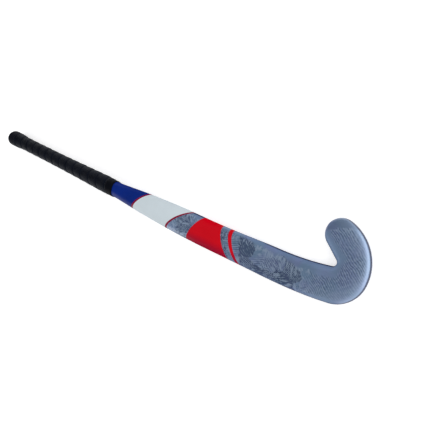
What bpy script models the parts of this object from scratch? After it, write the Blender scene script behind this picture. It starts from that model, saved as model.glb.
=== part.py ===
"""Indoor hockey stick, lying on its flat playing side with the rounded back up.

The stick is drawn with X running from the butt to the head, +Y on the toe side and Z up from the
ground. A parent empty then puts the middle of the whole stick's footprint at the world origin.
Lengths are in metres and angles in degrees.
"""
import math

import bmesh
import bpy
import numpy as np

NAME = "indoor_hockey_stick"

# Whole stick
LENGTH = 0.929
BOW = 0.0204
BOW_TO_END = 0.290
FLAT_RUN = 0.090

# Clearances between pieces
GAP = 0.0003
WRAP_GAP = 0.00045
SLIT = 0.0007

# Laminate: width and thickness where the shaft changes, from the butt to the hook
WALL = 0.0026
HANDLE_D = 0.0242
WAIST_X = 0.202
WAIST_W = 0.0233
WAIST_T = 0.0226
SEAT_X = 0.394
SEAT_W = 0.0268
SEAT_T = 0.0252
GRIP_END = 0.434
NECK_W = 0.0296
NECK_T = 0.0278
UPPER_X = 0.517
UPPER_W = 0.0398
UPPER_T = 0.0246
MIDDLE_X = 0.614
MIDDLE_W = 0.0464
MIDDLE_T = 0.0214
LOWER_X = 0.707
LOWER_W = 0.0470
LOWER_T = 0.0202
HEAD_W = 0.0500
HEAD_T = 0.0192

# Section: height of the widest line, share of the half width that is rounded below, dome power
SIDE_SHARE = 0.40
HANDLE_SIDE_SHARE = 0.50
EDGE_SHARE = 0.34
DOME_POWER = 2.6
SHARPEST_CORNER = 0.25

# Hook outline, as tangent arcs
LEAD_IN_R = 0.408
LEAD_IN_TURN = 12.0
CROTCH_R = 0.0057
MOUTH_TURN = 128.5
TOE_LINE = 0.0286
TOE_R = 0.0234
LEAD_OUT_R = 0.600
LEAD_OUT_TURN = 9.3
HEEL_R = 0.0487
BACK_R = 0.0722

# Handle and grip
KNOB_D = 0.0366
KNOB_X = 0.0110
KNOB_ROUND = 0.0085
KNOB_BAND = 0.0020
CAP_LENGTH = 0.0320
CAP_END_WALL = 0.0045
CAP_EDGE = 0.0007
UNDERLAY_T = 0.0010
GRIP_T = 0.0021
GRIP_EDGE_T = 0.0008
GRIP_SHOULDER = 0.0030
SHOULDER_SHARE = 0.35
THIN_END = 0.0016
GRIP_TURNS = 13.5
TAPE_WIDTH = 0.0185
TAPE_T = 0.0016

# Inside the shaft
PLUG_LENGTH = 0.038
PLUG_CHAMFER = 0.001
WEIGHT_LENGTH = 0.026
WEIGHT_D = 0.0176
TUBE_WALL = 0.0008
WEB_T = 0.0010
TUBE_CORNER = 0.3
TUBE_END = 0.657
BULKHEAD_T = 0.015
PLY_T = 0.0005
PLY_START = 0.744

# Decoration films, by where their edges cross the middle of the back
FILM_T = 0.0003
BLUE_END = 0.508
PINSTRIPE_W = 0.0030
WHITE_END = 0.600
RED_BAND_START = 0.643
RED_BAND_W = 0.062
RED_LINE_GAP = 0.014
RED_LINE_W = 0.0065
UPPER_SLANT = 0.92
LOWER_SLANT = 0.97
WEDGE_SLANT = 0.45
RED_SLANT = -0.60
UNSLANT_RUN = 0.045

# Facets
CORNER_STEPS = 4
DOME_STEPS = 14
LEAD_RINGS = 5
CROTCH_RINGS = 12
TOE_RINGS = 2
CAP_RINGS = 6
WRAP_STEPS = 24
TURNED_STEPS = 28
RIM_STEPS = 6
KNOB_STEPS = 7
SHEAR_PASSES = 6

# Longest facets along the stick, and how far round the toe's tip the last ring lies
HANDLE_FACET = 0.066
NECK_FACET = 0.018
SHAFT_FACET = 0.034
FOOT_FACET = 0.0185
FILM_FACET = 0.026
SHORTEST_FACET = 0.004
TIP_TURN = 86.0

HOOK_X = LENGTH - HEEL_R - (LEAD_OUT_R - HEEL_R) * math.sin(math.radians(LEAD_OUT_TURN))
BUTT_X = CAP_END_WALL + GAP
FILM_SEAT = FILM_T + GAP


def smooth(x, stations):
    """Value at x of a curve through (x, value) stations that never overshoots them."""
    xs = [s[0] for s in stations]
    ys = [s[1] for s in stations]
    if x <= xs[0]:
        return ys[0]
    if x >= xs[-1]:
        return ys[-1]
    rise = [(ys[i + 1] - ys[i]) / (xs[i + 1] - xs[i]) for i in range(len(xs) - 1)]
    slope = [0.0]
    for before, after in zip(rise, rise[1:]):
        level = before * after <= 0
        slope.append(0.0 if level else 2 * before * after / (before + after))
    slope.append(0.0)
    i = max(k for k in range(len(xs) - 1) if xs[k] <= x)
    run = xs[i + 1] - xs[i]
    t = (x - xs[i]) / run
    return (ys[i] * (1 + 2 * t) * (1 - t) ** 2 + ys[i + 1] * t * t * (3 - 2 * t)
            + run * slope[i] * t * (1 - t) ** 2 - run * slope[i + 1] * t * t * (1 - t))


def bow(x):
    """Height of the flat side above the ground, from the bow of the shaft."""
    peak = LENGTH - BOW_TO_END
    fall = BOW_TO_END - FLAT_RUN
    if x < peak:
        return BOW * math.sin(math.pi / 2 * max(x, 0.0) / peak)
    return BOW * math.cos(math.pi / 2 * min((x - peak) / fall, 1.0)) ** 2


BUTT_LIFT = KNOB_D / 2 - HANDLE_D / 2 - bow(KNOB_X)


def base(x):
    """Height of the laminate's underside, with the handle lifted so that its knob just rests."""
    return bow(x) + smooth(x, [(0.0, BUTT_LIFT), (GRIP_END, 0.0)])


def width(x):
    return smooth(x, [(0.0, HANDLE_D), (WAIST_X, WAIST_W), (SEAT_X, SEAT_W), (GRIP_END, NECK_W),
                      (UPPER_X, UPPER_W), (MIDDLE_X, MIDDLE_W), (LOWER_X, LOWER_W), (HOOK_X, HEAD_W)])


def thickness(x):
    return smooth(x, [(0.0, HANDLE_D), (WAIST_X, WAIST_T), (SEAT_X, SEAT_T), (GRIP_END, NECK_T),
                      (UPPER_X, UPPER_T), (MIDDLE_X, MIDDLE_T), (LOWER_X, LOWER_T), (HOOK_X, HEAD_T)])


def form(x):
    """How far the section has gone from the round handle, 0, to the flat-faced shaft, 1."""
    return smooth(x, [(SEAT_X, 0.0), (UPPER_X, 0.6), (MIDDLE_X, 1.0)])


def axis_height(x):
    return base(x) + thickness(x) / 2


BUTT_SLOPE = (axis_height(CAP_LENGTH) - axis_height(0.0)) / CAP_LENGTH


def square_to_axis(x, z):
    """Shift along the stick that turns an upright ring square to the handle's rising axis."""
    lean = smooth(x, [(CAP_LENGTH, BUTT_SLOPE), (SEAT_X, 0.0)])
    return -lean * (z - axis_height(x))


class Section:
    """A D-shaped section: flat below, two rounded lower corners and a domed back."""

    def __init__(self, x, low=0.0, high=None, share=1.0):
        high = low if high is None else high
        f = form(x)
        tall = thickness(x)
        self.side = base(x) + tall * (HANDLE_SIDE_SHARE + (SIDE_SHARE - HANDLE_SIDE_SHARE) * f)
        self.low = self.side - (self.side - base(x) - low) * share
        self.high = self.side + (base(x) + tall - high - self.side) * share
        self.edge_share = 1 + (EDGE_SHARE - 1) * f
        self.power = 2 + (DOME_POWER - 2) * f

    def corner(self, half, nominal):
        """Reach of the rounded lower corner at a half width that is drawn in from the nominal."""
        return min(max(nominal * self.edge_share - (nominal - half), SHARPEST_CORNER * half), half)

    def point(self, step, half, nominal):
        """Distance from the middle line, towards the toe side, and height of one ring point."""
        if step <= CORNER_STEPS or step >= CORNER_STEPS + DOME_STEPS:
            near = min(step, RING_POINTS - 1 - step)
            turn = math.pi / 2 * near / CORNER_STEPS
            corner = self.corner(half, nominal)
            y = half - corner + corner * math.sin(turn)
            z = self.side - (self.side - self.low) * math.cos(turn)
            return (y if step <= CORNER_STEPS else -y), z
        turn = math.pi * (step - CORNER_STEPS) / DOME_STEPS
        c, s = math.cos(turn), math.sin(turn)
        y = half * math.copysign(abs(c) ** (2 / self.power), c)
        return y, self.side + (self.high - self.side) * s ** (2 / self.power)


RING_POINTS = 2 * CORNER_STEPS + DOME_STEPS + 1


def shaft_ring(x, inset=0.0, slant=0.0, steps=None):
    """Ring round the shaft where it crosses x, sheared along the shaft by slant times y."""
    ring = []
    for step in steps or range(RING_POINTS):
        at = x
        for _ in range(SHEAR_PASSES):
            nominal = width(at) / 2
            y, z = Section(at, inset).point(step, nominal - inset, nominal)
            at = x + slant * y + square_to_axis(x, z)
        ring.append((at, y, z))
    return ring


def turn_about(centre, radius, angle):
    return centre + radius * np.array([math.cos(angle), math.sin(angle)])


def meet(start, direction, centre, radius):
    """Where a ray from inside a circle leaves it."""
    to = start - centre
    b = to @ direction
    return start + direction * (math.sqrt(b * b - to @ to + radius * radius) - b)


class HookOutline:
    """Plan of the hook as tangent arcs, drawn in from its toe-side and heel-side edges."""

    def __init__(self, toe_inset=0.0, heel_inset=0.0):
        half = HEAD_W / 2
        lead = math.radians(LEAD_IN_TURN)
        self.mouth = math.radians(MOUTH_TURN)
        self.out_turn = math.radians(LEAD_OUT_TURN)
        self.lead_in = lead
        self.in_centre = np.array([HOOK_X, half + LEAD_IN_R])
        self.in_r = LEAD_IN_R + toe_inset
        self.out_centre = np.array([HOOK_X, LEAD_OUT_R - half])
        self.out_r = LEAD_OUT_R - heel_inset
        self.crotch = turn_about(self.in_centre, LEAD_IN_R - CROTCH_R, lead - math.pi / 2)
        self.crotch_r = CROTCH_R + toe_inset
        self.heading = lead + self.mouth
        along = np.array([math.cos(self.heading), math.sin(self.heading)])
        across = np.array([along[1], -along[0]])
        self.along, self.across = along, across
        self.toe = self.crotch + across * (CROTCH_R + TOE_R) + along * TOE_LINE
        self.toe_inner_r = TOE_R - toe_inset
        self.toe_outer_r = TOE_R - heel_inset
        self.heel = turn_about(self.out_centre, LEAD_OUT_R - HEEL_R, self.out_turn - math.pi / 2)
        self.heel_r = HEEL_R - heel_inset
        self.back = self.back_centre()
        self.back_r = BACK_R - heel_inset

    def back_centre(self):
        """Centre of the arc that touches the heel and toe circles from outside."""
        to_toe = self.toe - self.heel
        gap = np.linalg.norm(to_toe)
        a, b = BACK_R - HEEL_R, BACK_R - TOE_R
        run = (a * a - b * b + gap * gap) / (2 * gap)
        unit = to_toe / gap
        side = np.array([-unit[1], unit[0]])
        return self.heel + unit * run + side * math.sqrt(a * a - run * run)

    def outer(self, start, direction):
        """Point on the outer edge that a ray from inside the head reaches."""
        hit = meet(start, direction, self.back, self.back_r)
        angle = math.atan2(*(hit - self.back)[::-1])
        if angle > math.atan2(*(self.toe - self.back)[::-1]):
            return meet(start, direction, self.toe, self.toe_outer_r)
        if angle >= math.atan2(*(self.heel - self.back)[::-1]):
            return hit
        hit = meet(start, direction, self.heel, self.heel_r)
        if math.atan2(*(hit - self.heel)[::-1]) >= self.out_turn - math.pi / 2:
            return hit
        return meet(start, direction, self.out_centre, self.out_r)

    def crotch_spoke(self, heading):
        direction = np.array([math.sin(heading), -math.cos(heading)])
        return self.crotch + direction * self.crotch_r, self.outer(self.crotch, direction)

    def spokes(self):
        """Pairs of edge points, toe side first, from the shaft to just short of the toe's tip."""
        pairs = []
        first = self.crotch_spoke(self.lead_in)
        reach = math.asin((first[1][0] - HOOK_X) / self.out_r)
        for k in range(1, LEAD_RINGS):
            t = k / LEAD_RINGS
            pairs.append((turn_about(self.in_centre, self.in_r, self.lead_in * t - math.pi / 2),
                          turn_about(self.out_centre, self.out_r, reach * t - math.pi / 2)))
        for k in range(CROTCH_RINGS + 1):
            pairs.append(self.crotch_spoke(self.lead_in + self.mouth * k / CROTCH_RINGS))
        line_start = pairs[-1][0]
        for k in range(1, TOE_RINGS + 1):
            inner = line_start + self.along * TOE_LINE * k / TOE_RINGS
            pairs.append((inner, self.outer(inner, self.across)))
        for k in range(1, CAP_RINGS + 1):
            rise = math.sin(math.radians(TIP_TURN) * k / CAP_RINGS)
            run = min(self.toe_inner_r, self.toe_outer_r) * rise
            middle = self.toe + self.along * run
            chord = math.sqrt(self.toe_inner_r ** 2 - run * run)
            pairs.append((middle - self.across * chord, self.outer(middle, self.across)))
        return pairs

    def tip_share(self, index, count):
        """How much of its full thickness the section keeps on its way to the toe's tip."""
        step = index - (count - CAP_RINGS) + 1
        if step <= 0:
            return 1.0
        rise = math.sin(math.radians(TIP_TURN) * step / CAP_RINGS)
        return (1 - rise ** DOME_POWER) ** (1 / DOME_POWER)


def hook_rings(toe_inset=0.0, heel_inset=None, low=None, high=None, steps=None, stop=None):
    """Rings round the head from the end of the shaft to the toe's tip."""
    heel_inset = toe_inset if heel_inset is None else heel_inset
    low = toe_inset if low is None else low
    high = toe_inset if high is None else high
    outline = HookOutline(toe_inset, heel_inset)
    pairs = outline.spokes()
    rings = []
    for index, (toe_edge, heel_edge) in enumerate(pairs[:stop]):
        middle, half = (toe_edge + heel_edge) / 2, (toe_edge - heel_edge) / 2
        reach = np.linalg.norm(half)
        section = Section(HOOK_X, low, high, outline.tip_share(index, len(pairs)))
        nominal = reach + (toe_inset + heel_inset) / 2
        ring = []
        for step in steps or range(RING_POINTS):
            y, z = section.point(step, reach, nominal)
            plan = middle + half / reach * y
            ring.append((plan[0], plan[1], z + base(plan[0]) - base(HOOK_X)))
        rings.append(ring)
    return rings


def spread(start, end, longest):
    """Even positions from start to end, no further apart than longest."""
    count = max(1, math.ceil(abs(end - start) / longest - 1e-6))
    return [start + (end - start) * k / count for k in range(count + 1)]


def shaft_stations(start, end):
    """The rings that every inner piece shares, so that their facets lie side by side."""
    peak = LENGTH - BOW_TO_END
    spans = ((BUTT_X, SEAT_X, HANDLE_FACET), (SEAT_X, UPPER_X, NECK_FACET),
             (UPPER_X, peak, SHAFT_FACET), (peak, HOOK_X, FOOT_FACET))
    shared = [x for low, high, longest in spans for x in spread(low, high, longest)]
    inside = {x for x in shared if start + SHORTEST_FACET < x < end - SHORTEST_FACET}
    return [start] + sorted(inside) + [end]


def material(name, colour, roughness, metallic=0.0, coat=0.0):
    mat = bpy.data.materials.get(name) or bpy.data.materials.new(name)
    mat.use_nodes = True
    shader = mat.node_tree.nodes["Principled BSDF"]
    shader.inputs["Base Color"].default_value = (*colour, 1.0)
    shader.inputs["Roughness"].default_value = roughness
    shader.inputs["Metallic"].default_value = metallic
    shader.inputs["Coat Weight"].default_value = coat
    mat.diffuse_color = (*colour, 1.0)
    return mat


def add(name, mesh, mat):
    """Put a mesh in the stick's collection under its parent empty."""
    obj = bpy.data.objects.new(name, mesh)
    bpy.data.collections[NAME].objects.link(obj)
    obj.parent = bpy.data.objects[NAME + "_frame"]
    obj.data.materials.append(mat)
    return obj


def loft(name, rings, mat, ring_closed=False, smooth_angle=40):
    """Skin a run of rings. The run is capped at both ends, or joined end to end if closed."""
    bm = bmesh.new()
    rows = [[bm.verts.new(p) for p in ring] for ring in rings]
    pairs = list(zip(rows, rows[1:]))
    if ring_closed:
        pairs.append((rows[-1], rows[0]))
    for low, high in pairs:
        for i in range(len(low)):
            j = (i + 1) % len(low)
            bm.faces.new((low[i], low[j], high[j], high[i]))
    if not ring_closed:
        bm.faces.new(rows[0][::-1])
        bm.faces.new(rows[-1])
    bmesh.ops.recalc_face_normals(bm, faces=bm.faces)
    mesh = bpy.data.meshes.new(name)
    bm.to_mesh(mesh)
    bm.free()
    mesh.shade_smooth()
    mesh.set_sharp_from_angle(angle=math.radians(smooth_angle))
    return add(name, mesh, mat)


def sleeve(name, stations, outer, inner, mat):
    """An open tube between two offsets from the shaft's surface."""
    skin = [shaft_ring(x, -outer(x)) for x in stations]
    bore = [shaft_ring(x, -inner(x)) for x in reversed(stations)]
    return loft(name, skin + bore, mat, ring_closed=True)


def turned(name, profile, mat):
    """A closed profile of (along, radius) points turned about the handle's axis."""
    mesh = bpy.data.meshes.new(name)
    verts = [(radius, 0.0, along) for along, radius in profile]
    closed = profile[0][1] > 0
    edges = [(i, i + 1) for i in range(len(verts) - 1)] + ([(len(verts) - 1, 0)] if closed else [])
    mesh.from_pydata(verts, edges, [])
    obj = add(name, mesh, mat)
    screw = obj.modifiers.new("turn", "SCREW")
    screw.axis = "Z"
    screw.angle = math.tau
    screw.steps = TURNED_STEPS
    screw.render_steps = TURNED_STEPS
    screw.use_merge_vertices = True
    screw.merge_threshold = 0.00001
    screw.use_smooth_shade = True
    screw.use_normal_calculate = True
    obj.rotation_euler = (0.0, math.pi / 2 - math.atan(BUTT_SLOPE), 0.0)
    obj.location = (0.0, 0.0, axis_height(0.0))
    return obj


def band_edges():
    """Where each decoration film starts and ends, with the slant of those edges."""
    pin_1 = BLUE_END + PINSTRIPE_W
    pin_2 = WHITE_END + PINSTRIPE_W
    red_end = RED_BAND_START + RED_BAND_W
    line = red_end + RED_LINE_GAP
    return {
        "blue_film": (GRIP_END, 0.0, BLUE_END, UPPER_SLANT),
        "upper_pinstripe": (BLUE_END, UPPER_SLANT, pin_1, UPPER_SLANT),
        "white_film": (pin_1, UPPER_SLANT, WHITE_END, LOWER_SLANT),
        "lower_pinstripe": (WHITE_END, LOWER_SLANT, pin_2, LOWER_SLANT),
        "red_band": (RED_BAND_START, WEDGE_SLANT, red_end, RED_SLANT),
        "red_line": (line, RED_SLANT, line + RED_LINE_W, RED_SLANT),
    }


def slanted_run(start, slant, end, end_slant, inset):
    """Rings from one slanted line to another, both drawn round the shaft at the same inset."""
    rings = []
    for x in spread(start, end, FILM_FACET):
        t = (x - start) / (end - start)
        rings.append(shaft_ring(x, inset, slant + (end_slant - slant) * t))
    return rings


def make_laminate(mat):
    """Hollow carbon and glass shell from the butt to the toe, with shallow seats for the films."""
    bands = band_edges()
    red_end = bands["red_band"][2]
    line_start, _, line_end, _ = bands["red_line"]
    seats = [(GRIP_END, 0.0, bands["lower_pinstripe"][2], LOWER_SLANT),
             (RED_BAND_START, WEDGE_SLANT, red_end, RED_SLANT),
             (line_start, RED_SLANT, line_end, RED_SLANT)]
    skin = [shaft_ring(x) for x in shaft_stations(BUTT_X, GRIP_END)]
    for number, (start, slant, end, end_slant) in enumerate(seats):
        if number:
            skin.append(shaft_ring(start, 0.0, slant))
        if number == 0:
            skin += slanted_run(start, slant, BLUE_END, UPPER_SLANT, FILM_SEAT)
            skin += slanted_run(BLUE_END, UPPER_SLANT, end, end_slant, FILM_SEAT)[1:]
        else:
            skin += slanted_run(start, slant, end, end_slant, FILM_SEAT)
        skin.append(shaft_ring(end, 0.0, end_slant))
    for x in spread(line_end, HOOK_X, FOOT_FACET)[1:]:
        left = max(0.0, 1 - (x - line_end) / UNSLANT_RUN)
        skin.append(shaft_ring(x, 0.0, RED_SLANT * left))
    skin += hook_rings()
    cavity = [shaft_ring(x, WALL) for x in shaft_stations(BUTT_X, HOOK_X)]
    cavity += hook_rings(WALL)
    return loft("outer_laminate", skin[::-1] + cavity, mat)


def make_films(materials):
    for name, (start, slant, end, end_slant) in band_edges().items():
        start, end = start + GAP, end - GAP
        skin = slanted_run(start, slant, end, end_slant, 0.0)
        under = slanted_run(start, slant, end, end_slant, FILM_T)
        loft(name, skin + under[::-1], materials[name], ring_closed=True)


def make_head_core(mat):
    """Foam that fills the hook and the foot of the shaft, clear of the two plies."""
    side = WALL + GAP
    deep = side + PLY_T + GAP
    start = TUBE_END + GAP + BULKHEAD_T + GAP
    shaft = [shaft_ring(x, deep) for x in shaft_stations(start, HOOK_X)]
    return loft("head_foam_core", shaft + hook_rings(side, deep, deep, side), mat)


def make_face_ply(mat):
    """Flat reinforcing sheet on the inside of the playing face."""
    inset = WALL + GAP
    flat = [0, RING_POINTS - 1]
    shaft = [shaft_ring(x, inset, 0.0, flat) for x in shaft_stations(PLY_START, HOOK_X)]
    hook = hook_rings(inset, steps=flat, stop=-CAP_RINGS + 2)
    rings = []
    for (ax, ay, az), (bx, by, bz) in shaft + hook:
        rings.append([(ax, ay, az), (bx, by, bz), (bx, by, bz + PLY_T), (ax, ay, az + PLY_T)])
    return loft("face_reinforcing_ply", rings, mat)


def make_heel_ply(mat):
    """Strip of reinforcing cloth round the inside of the hook's outer edge."""
    first = CORNER_STEPS + DOME_STEPS
    steps = list(range(first - 2, first + CORNER_STEPS - 1))
    wall, core = WALL + GAP, WALL + GAP + PLY_T
    stop = -CAP_RINGS + 2
    out = [shaft_ring(x, wall, 0.0, steps) for x in shaft_stations(PLY_START, HOOK_X)]
    inn = [shaft_ring(x, core, 0.0, steps) for x in shaft_stations(PLY_START, HOOK_X)]
    out += hook_rings(wall, steps=steps, stop=stop)
    inn += hook_rings(wall, core, core, core, steps=steps, stop=stop)
    return loft("heel_reinforcing_ply", [o + i[::-1] for o, i in zip(out, inn)], mat)


def on_ring(ring, y, back):
    """Point where a ring's underside, or its back, crosses a distance y from the middle line."""
    upper = ring[CORNER_STEPS:CORNER_STEPS + DOME_STEPS + 1]
    lower = ring[:CORNER_STEPS + 1] + ring[CORNER_STEPS + DOME_STEPS:]
    points = sorted(upper if back else lower, key=lambda p: p[1])
    ys = [p[1] for p in points]
    return tuple(float(np.interp(y, ys, [p[axis] for p in points])) for axis in range(3))


def tube_ring(x, side, inset):
    """Ring of one pressure tube, which fills the hollow on one side of the centre web."""
    whole = shaft_ring(x, inset)
    wall = WEB_T / 2 + inset - WALL
    middle = CORNER_STEPS + DOME_STEPS // 2
    corner = max(whole[0][1], wall + TUBE_CORNER * (whole[1][1] - wall))
    ring = [on_ring(whole, wall, False), on_ring(whole, corner, False)]
    ring += whole[1:middle] + [on_ring(whole, wall, True)]
    return [(px, side * py, pz) for px, py, pz in ring]


def make_tubes(mat):
    stations = shaft_stations(BUTT_X + PLUG_LENGTH + WEIGHT_LENGTH + 2 * GAP, TUBE_END)
    for name, side in (("toe_side_tube", 1), ("heel_side_tube", -1)):
        skin = [tube_ring(x, side, WALL + GAP) for x in stations]
        bore = [tube_ring(x, side, WALL + GAP + TUBE_WALL) for x in reversed(stations)]
        loft(name, skin + bore, mat, ring_closed=True)


def make_web(mat):
    """Upright rib between the two tubes, from the flat side to the back."""
    rings = []
    for x in shaft_stations(BUTT_X + PLUG_LENGTH + WEIGHT_LENGTH + 2 * GAP, TUBE_END):
        whole = shaft_ring(x, WALL + GAP)
        corners = ((-1, False), (1, False), (1, True), (-1, True))
        rings.append([on_ring(whole, side * WEB_T / 2, back) for side, back in corners])
    return loft("centre_web", rings, mat)


def make_bulkhead(mat):
    stations = shaft_stations(TUBE_END + GAP, TUBE_END + GAP + BULKHEAD_T)
    return loft("core_bulkhead", [shaft_ring(x, WALL + GAP) for x in stations], mat)


def make_plug_and_weight(foam, steel):
    """Foam plug in the mouth of the shaft and the balance weight behind it."""
    behind = BUTT_X + PLUG_LENGTH + GAP
    slugs = (("butt_plug", BUTT_X, PLUG_LENGTH, HANDLE_D / 2 - WALL - GAP, foam),
             ("balance_weight", behind, WEIGHT_LENGTH, WEIGHT_D / 2, steel))
    for name, start, length, radius, mat in slugs:
        end, rim = start + length, radius - PLUG_CHAMFER
        turned(name, [(end, 0.0), (end, rim), (end - PLUG_CHAMFER, radius),
                      (start + PLUG_CHAMFER, radius), (start, rim), (start, 0.0)], mat)


def grip_seat(x):
    """Distance from the laminate to the inside of the outer wrap."""
    full = GAP + UNDERLAY_T + WRAP_GAP
    return smooth(x, [(SEAT_X, full), (GRIP_END - TAPE_WIDTH, WRAP_GAP)])


def cap_profile():
    """Outline of the butt cap as (along, radius), from the rim's bore round to the bore's floor."""
    knob = KNOB_D / 2
    rim = HANDLE_D / 2 + grip_seat(0.0) + GRIP_T
    bore = HANDLE_D / 2 + GAP
    shoulder = KNOB_X + KNOB_BAND
    skirt = CAP_LENGTH - CAP_EDGE
    points = [(CAP_END_WALL, 0.0), (CAP_END_WALL, bore), (CAP_LENGTH, bore),
              (CAP_LENGTH, rim - CAP_EDGE)]
    for k in range(RIM_STEPS + 1):
        t = k / RIM_STEPS
        points.append((skirt + (shoulder - skirt) * t, rim + (knob - rim) * t * t * (3 - 2 * t)))
    for k in range(KNOB_STEPS + 1):
        turn = math.pi / 2 * k / KNOB_STEPS
        points.append((KNOB_ROUND * (1 - math.sin(turn)), knob - KNOB_ROUND * (1 - math.cos(turn))))
    points.append((0.0, 0.0))
    return points[::-1]


def make_underlay(mat):
    stations = shaft_stations(CAP_LENGTH + GAP, SEAT_X)
    return sleeve("grip_underlay", stations, lambda x: GAP + UNDERLAY_T, lambda x: GAP, mat)


def make_tape(mat):
    stations = shaft_stations(GRIP_END - TAPE_WIDTH, GRIP_END - GAP)
    return sleeve("finishing_tape", stations, lambda x: GAP + TAPE_T, lambda x: GAP, mat)


def wrap_point(x, turn, out):
    """Point at a turn round the handle, a distance out from the laminate."""
    section = Section(x, -out)
    half = width(x) / 2 + out
    c, s = math.cos(turn), math.sin(turn)
    if s >= 0:
        y = half * math.copysign(abs(c) ** (2 / section.power), c)
        z = section.side + (section.high - section.side) * s ** (2 / section.power)
    else:
        corner = section.corner(half, width(x) / 2)
        y = math.copysign(half - corner + corner * abs(c), c)
        z = section.side + (section.side - section.low) * s
    return x + square_to_axis(x, z), y, z


def make_overgrip(mat):
    """One padded band wound from the cap to the tape, thinner along both edges."""
    start, end = CAP_LENGTH + GAP, GRIP_END - TAPE_WIDTH - GAP
    pitch = (end - start + SLIT) / GRIP_TURNS
    count = round((GRIP_TURNS + 1) * WRAP_STEPS)
    rings, edges = [], []
    for k in range(count + 1):
        lap = k / WRAP_STEPS
        low = max(start, start + pitch * (lap - 1))
        high = min(end, start + pitch * lap - SLIT)
        if high - low < THIN_END:
            continue
        turn = math.tau * lap
        shoulder = min(GRIP_SHOULDER, SHOULDER_SHARE * (high - low))
        outline = ((low, 0.0), (high, 0.0), (high, GRIP_EDGE_T), (high - shoulder, GRIP_T),
                   (low + shoulder, GRIP_T), (low, GRIP_EDGE_T))
        rings.append([wrap_point(x, turn, grip_seat(x) + out) for x, out in outline])
        edges.append((lap, np.array(rings[-1][0]), np.array(rings[-1][1])))
    loft("overgrip", rings, mat)
    report_least_gap(edges)


def report_least_gap(edges):
    """Measure the wrap's slit between one turn and the next, on the points of both edges."""
    ahead = {round(lap * WRAP_STEPS): low for lap, low, _ in edges}
    gaps = [np.linalg.norm(ahead[key] - high) for lap, _, high in edges
            if (key := round((lap + 1) * WRAP_STEPS)) in ahead]
    print(f"overgrip: least gap between turns {min(gaps) * 1000:.2f} mm")


def clear_scene():
    for obj in list(bpy.data.objects):
        bpy.data.objects.remove(obj)


def make_frame():
    """Collection and parent empty, placed so that the footprint's middle is the world origin."""
    collection = bpy.data.collections.new(NAME)
    bpy.context.scene.collection.children.link(collection)
    outline = HookOutline()
    toe_top = outline.toe[1] + TOE_R
    empty = bpy.data.objects.new(NAME + "_frame", None)
    empty.location = (-LENGTH / 2, -(toe_top - HEAD_W / 2) / 2, 0.0)
    collection.objects.link(empty)


def main():
    clear_scene()
    make_frame()
    slate = material("slate_lacquer", (0.16, 0.22, 0.34), 0.22, coat=1.0)
    blue = material("blue_lacquer", (0.006, 0.020, 0.22), 0.25, coat=1.0)
    white = material("white_lacquer", (0.62, 0.70, 0.75), 0.28, coat=1.0)
    red = material("red_lacquer", (0.60, 0.002, 0.012), 0.25, coat=1.0)
    rubber = material("cap_rubber", (0.012, 0.012, 0.015), 0.55)
    wrap = material("wrap_leatherette", (0.016, 0.016, 0.021), 0.50)
    tape = material("tape_vinyl", (0.010, 0.010, 0.013), 0.35)
    cushion = material("underlay_foam", (0.030, 0.030, 0.034), 0.85)
    foam = material("core_foam", (0.62, 0.52, 0.30), 0.90)
    ply = material("reinforcing_cloth", (0.70, 0.50, 0.08), 0.60)
    carbon = material("bare_carbon", (0.020, 0.020, 0.022), 0.40)
    steel = material("weight_steel", (0.45, 0.45, 0.46), 0.35, metallic=1.0)
    make_laminate(slate)
    make_films({"blue_film": blue, "upper_pinstripe": red, "white_film": white,
                "lower_pinstripe": red, "red_band": red, "red_line": red})
    make_head_core(foam)
    make_face_ply(ply)
    make_heel_ply(ply)
    make_tubes(carbon)
    make_web(carbon)
    make_bulkhead(foam)
    make_plug_and_weight(foam, steel)
    turned("butt_cap", cap_profile(), rubber)
    make_underlay(cushion)
    make_overgrip(wrap)
    make_tape(tape)


main()
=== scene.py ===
"""Looks of an indoor hockey stick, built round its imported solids.

Lengths are in metres. The stick is drawn from its butt at x = 0, with y towards the toe of the hook
and z up from the ground, and each finished piece is then moved onto the frame.
"""

import math

import bmesh
import bpy
from bpy.props import FloatProperty, FloatVectorProperty, PointerProperty
from mathutils import Matrix, Vector, noise


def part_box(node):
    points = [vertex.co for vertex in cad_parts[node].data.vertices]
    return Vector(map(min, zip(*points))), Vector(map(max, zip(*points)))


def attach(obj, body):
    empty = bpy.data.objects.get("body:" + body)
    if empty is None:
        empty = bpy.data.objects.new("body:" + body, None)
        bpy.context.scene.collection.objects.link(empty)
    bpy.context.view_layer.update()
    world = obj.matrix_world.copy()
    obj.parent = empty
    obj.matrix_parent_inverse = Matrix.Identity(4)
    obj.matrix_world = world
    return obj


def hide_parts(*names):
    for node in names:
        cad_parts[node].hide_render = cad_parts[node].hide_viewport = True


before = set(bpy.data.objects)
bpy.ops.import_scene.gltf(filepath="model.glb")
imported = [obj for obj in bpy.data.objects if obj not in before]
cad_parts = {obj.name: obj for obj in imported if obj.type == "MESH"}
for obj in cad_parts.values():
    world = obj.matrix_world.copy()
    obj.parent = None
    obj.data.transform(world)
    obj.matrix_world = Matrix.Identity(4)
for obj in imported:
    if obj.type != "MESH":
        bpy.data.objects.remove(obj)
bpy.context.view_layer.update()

bl_info = {
    "name": "Indoor hockey stick",
    "version": (1, 0, 0),
    "blender": (4, 5, 0),
    "location": "3D View > Sidebar > Hockey stick",
    "description": "Builds the lacquered shell, decoration, grip and stage of an indoor hockey stick",
    "category": "Add Mesh",
}

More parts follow.
